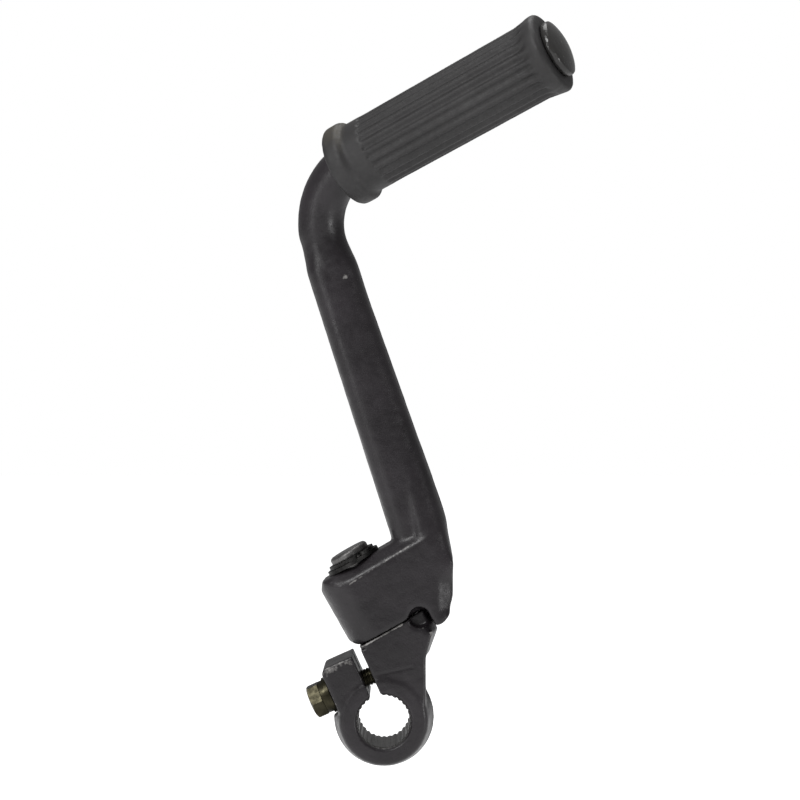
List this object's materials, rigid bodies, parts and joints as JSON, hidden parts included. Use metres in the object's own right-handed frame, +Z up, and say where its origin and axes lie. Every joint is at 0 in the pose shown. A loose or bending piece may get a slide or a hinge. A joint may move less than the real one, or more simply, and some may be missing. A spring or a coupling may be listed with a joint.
{
  "type": "folding kick start lever",
  "caption": "Folding kick start lever: a splined pinch clamp with a leaning pivot post, and a cranked arm on it that ends in a ribbed rubber pedal.",
  "frame": {"origin": "centre of the shaft bore in the clamp", "axes": "+Y along the shaft bore towards the engine, +Z up along the lever; the outer side faces -Y"},
  "size_m": [0.0856, 0.06, 0.233],
  "materials": {
    "black_paint": "satin",
    "zinc": "yellow passivated zinc",
    "bare_steel": "plain",
    "rubber": "matte"
  },
  "bodies": {
    "clamp": {"clamp_boss": "black_paint", "pinch_bolt": "zinc", "lock_washer": "zinc", "plain_washer": "zinc", "pivot_washer": "bare_steel", "retaining_ring": "bare_steel"},
    "lever": {"kick_arm": "black_paint", "detent_ball": "bare_steel", "detent_spring": "bare_steel", "pedal_rubber": "rubber"}
  },
  "joints": [
    {"name": "fold", "type": "hinge", "parent": "clamp", "child": "lever", "pos_m": [0.00205, 0, 0.02908], "axis": [0.4924, 0, -0.8704], "range_deg": [0, 62]}
  ]
}
